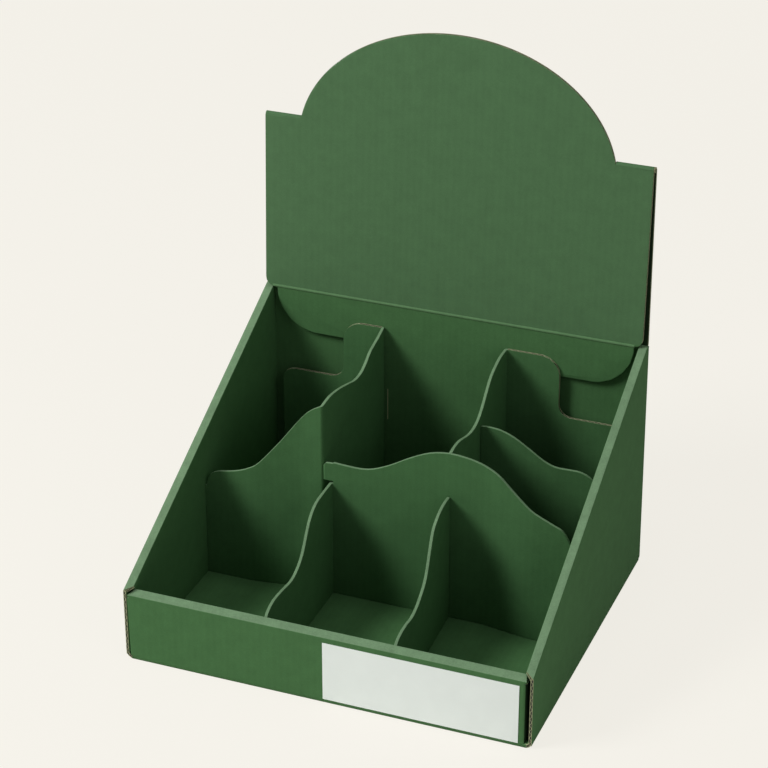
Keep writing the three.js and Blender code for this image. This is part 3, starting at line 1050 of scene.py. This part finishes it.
@dataclass
class TowerEdges:
    """Places of the bare edges on the back panels of the two folded dividers, in millimetres."""

    shift: float
    depth: float = 120.2
    tower: float = 162.0
    tower_edge: float = 84.9
    tower_radius: float = 15.0
    shelf: float = 114.5
    shelf_radius: float = 10.0
    shelf_edge: float = 135.0
    folds: Span = (-54.5, 44.5)

    def build(self, edges: FlutedEdges) -> None:
        """Adds the edges of both panels and makes the piece.

        Args:
            edges: What takes the edges.
        """
        quarter = math.pi / 2
        arcs = (Arc(self.tower_edge - self.tower_radius, self.tower - self.tower_radius,
                    self.tower_radius, quarter, 0, 1),
                Arc(self.tower_edge + self.shelf_radius, self.shelf + self.shelf_radius,
                    self.shelf_radius, math.pi, 3 * quarter, -1),
                Arc(self.shelf_edge - self.shelf_radius, self.shelf - self.shelf_radius,
                    self.shelf_radius, quarter, 0, 1))
        for fold in self.folds:
            side = 1 if fold > 0 else -1
            line = [(abs(fold), self.tower, 0, 1)]
            for arc in arcs:
                line += arc.walk()
            points = [Vector((side * x * MM, self.depth * MM + self.shift, z * MM))
                      for x, z, _, _ in line]
            outs = [Vector((side * x, 0, z)) for _, _, x, z in line]
            edges.add(points, [Vector((0, 1, 0))] * len(points), outs, Vector((1, 0, 0)))
        edges.build()


@dataclass
class CreaseBead:
    """Raised crease between the header and its tuck flap, where the pressed board stands out.

    The sizes are in millimetres from the middle of the tray. The profile gives points from its
    top down, each with its share of the bulge and its height from the crease.
    """

    finish: bpy.types.Material
    shift: float
    left: float = -143.0
    right: float = 139.5
    face: float = 121.5
    bulge: float = 0.65
    sunk: float = 0.05
    ends: Span = (1.5, -0.8)
    profile: tuple[Span, ...] = ((0.35, 1.25), (0.85, 0.75), (1.0, 0.2), (0.85, -0.3),
                                 (0.4, -0.65))
    steps: int = 24

    def build(self) -> bpy.types.Object:
        """Makes the bead.

        Returns:
            The bead.
        """
        name = "header_crease"
        profile = [(self.sunk, self.ends[0])]
        profile += [(-share * self.bulge, z) for share, z in self.profile]
        profile.append((self.sunk, self.ends[1]))
        form = bmesh.new()
        rows = []
        for k in range(self.steps + 1):
            x = self.left + (self.right - self.left) * k / self.steps
            rows.append([form.verts.new((x * MM, (self.face + y) * MM + self.shift,
                                         (CREASE_HEIGHT + z) * MM)) for y, z in profile])
        for low, high in zip(rows, rows[1:]):
            for k in range(len(profile) - 1):
                form.faces.new((low[k], high[k], high[k + 1], low[k + 1])).smooth = True
        bmesh.ops.recalc_face_normals(form, faces=form.faces)
        mesh = bpy.data.meshes.new(name)
        form.to_mesh(mesh)
        form.free()
        mesh.materials.append(self.finish)
        piece = add_object(name, mesh)
        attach(piece, "root")
        LOG.info("%s: %d faces", piece.name, len(mesh.polygons))
        return piece


@dataclass(frozen=True)
class Lamp:
    """Soft square lamp that faces the box, where azimuth 0 is in front of the box."""

    name: str
    azimuth: float
    elevation: float
    size: float
    power: float
    distance: float = 3.0
    target: tuple[float, float, float] = (0, 0, 0.1)

    def build(self) -> None:
        """Hangs the lamp in the scene."""
        data = bpy.data.lights.new(self.name, "AREA")
        data.shape = "SQUARE"
        data.size = self.size
        data.energy = self.power
        lamp = add_object(self.name, data)
        turn, rise = math.radians(self.azimuth), math.radians(self.elevation)
        place = self.distance * Vector((math.sin(turn) * math.cos(rise),
                                        -math.cos(turn) * math.cos(rise), math.sin(rise)))
        lamp.location = place
        aim = Vector(self.target) - place
        lamp.rotation_euler = aim.to_track_quat("-Z", "Y").to_euler()


@dataclass
class Studio:
    """Camera, floor, backdrop and lamps."""

    shift: float
    lens: float = 117.57
    eye: tuple[float, float, float] = (0.5573, -1.4363, 0.9913)
    azimuth: float = 21.40
    elevation: float = 27.67
    floor_size: float = 12.0
    even_light: float = 0.17
    backdrop: Colour = field(default_factory=lambda: linear(246, 243, 235))
    lamps: tuple[Lamp, ...] = (
        Lamp("key", azimuth=-54, elevation=41, size=1.0, power=70.0),
        Lamp("fill", azimuth=65, elevation=35, size=1.5, power=10.0),
        Lamp("top", azimuth=0, elevation=88, size=1.2, power=13.0))

    def add_camera(self) -> None:
        """Places the camera at the photograph's angle."""
        data = bpy.data.cameras.new("camera")
        data.lens = self.lens
        data.sensor_width = 36.0
        data.clip_end = 50.0
        camera = add_object("camera", data)
        azimuth = math.radians(self.azimuth)
        elevation = math.radians(self.elevation)
        right = Vector((math.cos(azimuth), math.sin(azimuth), 0))
        back = Vector((math.sin(azimuth) * math.cos(elevation),
                       -math.cos(azimuth) * math.cos(elevation), math.sin(elevation)))
        turn = Matrix((right, back.cross(right), back)).transposed().to_4x4()
        eye = Vector(self.eye) + Vector((0, self.shift, 0))
        camera.matrix_world = Matrix.Translation(eye) @ turn
        bpy.context.scene.camera = camera
        LOG.info("camera placed")

    def add_floor(self) -> None:
        """Lays the pale floor."""
        mesh = bpy.data.meshes.new("floor")
        form = bmesh.new()
        bmesh.ops.create_grid(form, x_segments=4, y_segments=4, size=self.floor_size)
        form.to_mesh(mesh)
        form.free()
        mesh.materials.append(FloorPaint("floor_paint", self.backdrop).build())
        add_object("floor", mesh)

    def add_world(self) -> None:
        """Lights the box evenly from all round, and shows the camera the backdrop's colour."""
        world = bpy.data.worlds.new("studio")
        bpy.context.scene.world = world
        world.use_nodes = True
        tree = world.node_tree
        tree.nodes.clear()
        path = tree.nodes.new("ShaderNodeLightPath")
        even = tree.nodes.new("ShaderNodeBackground")
        even.inputs["Color"].default_value = (1.0, 1.0, 1.0, 1.0)
        even.inputs["Strength"].default_value = self.even_light
        shown = tree.nodes.new("ShaderNodeBackground")
        shown.inputs["Color"].default_value = (*self.backdrop, 1.0)
        mix = tree.nodes.new("ShaderNodeMixShader")
        output = tree.nodes.new("ShaderNodeOutputWorld")
        seen = path.outputs["Is Camera Ray"]
        for ray in ("Is Glossy Ray", "Is Transmission Ray"):
            both = tree.nodes.new("ShaderNodeMath")
            both.operation = "MAXIMUM"
            tree.links.new(seen, both.inputs[0])
            tree.links.new(path.outputs[ray], both.inputs[1])
            seen = both.outputs[0]
        tree.links.new(seen, mix.inputs[0])
        tree.links.new(even.outputs[0], mix.inputs[1])
        tree.links.new(shown.outputs[0], mix.inputs[2])
        tree.links.new(mix.outputs[0], output.inputs["Surface"])

    def build(self) -> None:
        """Sets up the whole studio."""
        self.add_camera()
        self.add_floor()
        self.add_world()
        for lamp in self.lamps:
            lamp.build()
        bpy.context.scene.view_settings.view_transform = "Standard"
        LOG.info("studio ready")


@dataclass
class DisplayBox:
    """The whole display box: tray with header, dividers and label.

    The zones are the parts of the tray where its plain solid shows a cut edge, a top painted
    lighter as the light it catches, or a face painted dark as the shade between two layers.
    """

    shift: float
    header_from: float = 1 * MM + CREASE_HEIGHT * MM
    # Below this height, the rear layer's face behind the layer gap is painted dark as the gap's
    # shade.
    gap_shade_below: float = 310 * MM
    fold_below: float = 325 * MM
    front_ends: tuple[Zone, ...] = (
        Zone(across=(147.9, math.inf), back=(-math.inf, -127.9)),
        Zone(across=(143.4, math.inf), back=(-math.inf, -127.9), up=(52.5, math.inf)))
    strip_ends: Zone = Zone(across=(143, 143.4), back=(-math.inf, -121), up=(3, math.inf))
    # The right corner flap's outer face, which shows in the corner gap, is painted dark as the
    # gap's shade.
    shaded_corner_flap: Zone = Zone(across=(146.8, 147.98), up=(2, 53))
    # Painted light: up-facing faces in these zones take a lighter green for the light that falls
    # on them.
    lit_top_zones: tuple[Zone, ...] = (
        Zone(across=(143, math.inf), up=(50, math.inf)),
        Zone(back=(-math.inf, -121), up=(50, math.inf)))

    def choose_header(self, centre: Vector, normal: Vector) -> Slot:
        """Tells which surface of the header a face belongs to.

        Args:
            centre: Middle of the face.
            normal: Its outward direction.

        Returns:
            The surface's slot.
        """
        faces_front, is_edge = normal.y < -0.9, abs(normal.y) < 0.3
        # Painted shade: the rear layer's face seen through the gap between the header's layers
        # takes a dark green for the shade in that gap.
        if (faces_front and centre.z < self.gap_shade_below
                and behind_layer_gap(centre.y - self.shift, centre.z)):
            return Slot.GAP_SHADE
        folded = normal.z > 0.9 and centre.z < self.fold_below
        # Other header faces take the header's copy of the green, a little greyer as painted sheen.
        return Slot.CUT if is_edge and not folded else Slot.HEADER_SHEEN

    def choose_tray(self, centre: Vector, normal: Vector) -> Slot:
        """Tells which surface of the tray a face belongs to.

        Args:
            centre: Middle of the face.
            normal: Its outward direction.

        Returns:
            The surface's slot.
        """
        if centre.z > self.header_from:
            return self.choose_header(centre, normal)
        spot = abs(centre.x), centre.y - self.shift, centre.z
        faces_front, faces_side = normal.y < -0.98, abs(normal.x) > 0.98
        faces_right, faces_up = normal.x > 0.7, normal.z > 0.8
        if faces_front and any(zone.holds(*spot) for zone in self.front_ends):
            return Slot.CUT
        if faces_side and self.strip_ends.holds(*spot):
            return Slot.CUT
        # Painted shade: the flap's face in the right front corner gap takes the dark green.
        if faces_right and centre.x > 0 and self.shaded_corner_flap.holds(*spot):
            return Slot.GAP_SHADE
        # Painted light: up-facing tops take the lighter green.
        if faces_up and any(zone.holds(*spot) for zone in self.lit_top_zones):
            return Slot.LIT_TOP
        return Slot.FACE

    @staticmethod
    def choose_divider(_centre: Vector, normal: Vector) -> Slot:
        """Tells which surface of a divider a face belongs to.

        Args:
            _centre: Middle of the face, which makes no difference here.
            normal: Its outward direction.

        Returns:
            The surface's slot.
        """
        # Painted light: faces turned upwards take the lighter green, for the light they catch.
        faces_up = normal.z > 0.15
        return Slot.LIT_TOP if faces_up else Slot.FACE

    def build(self) -> None:
        """Dresses every piece."""
        outside = BoardPrint("green_print_outside", linear(69, 107, 66)).build()
        # Painted sheen: the same ink as outside, made a little greyer for the sheen the header
        # shows under the light; its higher specular level is real shading.
        header = BoardPrint("green_print_header_painted_sheen", linear(70, 104, 68), sheen=0.2).build()
        # Painted shade: the dividers' green is a touch darker than the outside green, standing for
        # the dimmer light inside the tray.
        inside = BoardPrint("green_print_inside_painted_shade", linear(67, 105, 65)).build()
        # Painted shade: a dark green put on faces inside gaps, standing for the shade there.
        shaded = BoardPrint("green_painted_gap_shade", linear(22, 38, 20)).build()
        # Painted light: a lighter copy of the green for up-facing tops and divider top edges,
        # standing for the light they catch.
        edge = BoardPrint("green_painted_top_light", linear(108, 137, 104), mottling=0.3).build()
        # Painted highlight: the crease bead is a lighter green than the outside, standing for the
        # bright line where light catches the raised crease.
        crease = BoardPrint("green_crease_painted_highlight", linear(86, 120, 82)).build()
        bare = RawPaper("bare_brown_board", linear(160, 164, 126)).build()
        # Painted shade: near-black paper colour for the shade inside the flute openings.
        hollow = RawPaper("board_hollow_painted_shade", linear(16, 15, 11)).build()
        label = LabelPaper("white_label_paper", linear(229, 236, 232)).build()

        finishes = {Slot.FACE: outside, Slot.CUT: bare, Slot.LIT_TOP: edge, Slot.GAP_SHADE: shaded,
                    Slot.HEADER_SHEEN: header}
        trim = TrayTrim(self.shift)
        DressedSheet("tray", "outer_board", finishes, self.choose_tray, trim=trim).build()
        for node in ("rear_left_divider", "right_divider", "cross_wall", "rear_cross_panel"):
            DressedSheet(node, "inner_board", {**finishes, Slot.FACE: inside},
                         self.choose_divider).build()
        TrayEdges(self.shift, trim).build(
            FlutedEdges("tray_cut_edges", "outer_board", bare, hollow, outside))
        TowerEdges(self.shift).build(
            FlutedEdges("divider_cut_edges", "inner_board", bare, hollow, inside))
        CreaseBead(crease, self.shift).build()
        DressedSheet("front_label", "label_paper", {slot: label for slot in Slot},
                     lambda _centre, _normal: Slot.FACE).build()


def corners(box: tuple[Vector, Vector]) -> list[list[float]]:
    """Writes a box's two corners as plain lists.

    Args:
        box: The lowest and the highest corner.

    Returns:
        The same as numbers.
    """
    return [[float(value) for value in corner] for corner in box]


def main() -> None:
    """Builds the studio and the display box in order."""
    logging.basicConfig(level=logging.INFO, format="%(message)s")
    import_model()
    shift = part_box("front_label")[0].y + LABEL_FACE * MM
    Studio(shift).build()
    DisplayBox(shift).build()


if __name__ == "__main__":
    main()
